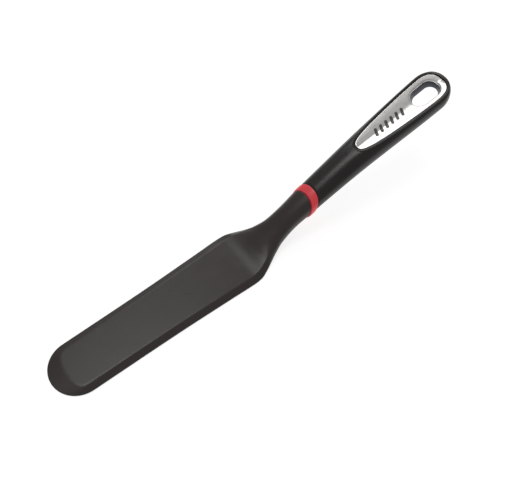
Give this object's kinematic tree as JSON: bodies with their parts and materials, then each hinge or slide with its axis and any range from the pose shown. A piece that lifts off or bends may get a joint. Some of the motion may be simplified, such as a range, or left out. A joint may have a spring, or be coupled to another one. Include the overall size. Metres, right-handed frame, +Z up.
{
  "type": "offset spatula",
  "caption": "Long offset spatula: flat bevelled nylon blade with a round tip, cranked neck, red collar and a flared handle with a dished bright plate around a hanging hole.",
  "frame": {"origin": "centre of the bounding box in plan, on the plane of the blade's underside", "axes": "+X from the blade's tip to the handle's end, +Y to the left seen from the tip's end looking along the tool, +Z up from the surface that the blade lies on"},
  "size_m": [0.3797, 0.0506, 0.0734],
  "materials": {
    "blade_nylon": "satin charcoal nylon, fine moulded texture",
    "collar_red": "semi-gloss red",
    "core_plastic": "moulded, hidden",
    "grip_plastic": "satin black",
    "pin_steel": "ground, hidden",
    "plate_metal": "bright satin",
    "bond_film": "adhesive film, hidden",
    "liner_plastic": "satin dark grey"
  },
  "bodies": {
    "root": {"blade_head": "blade_nylon", "ring_collar": "collar_red", "handle_core": "core_plastic", "grip_skin": "grip_plastic", "tang_pin": "pin_steel", "end_plate": "plate_metal", "plate_bond": "bond_film", "hole_liner": "liner_plastic"}
  },
  "joints": []
}
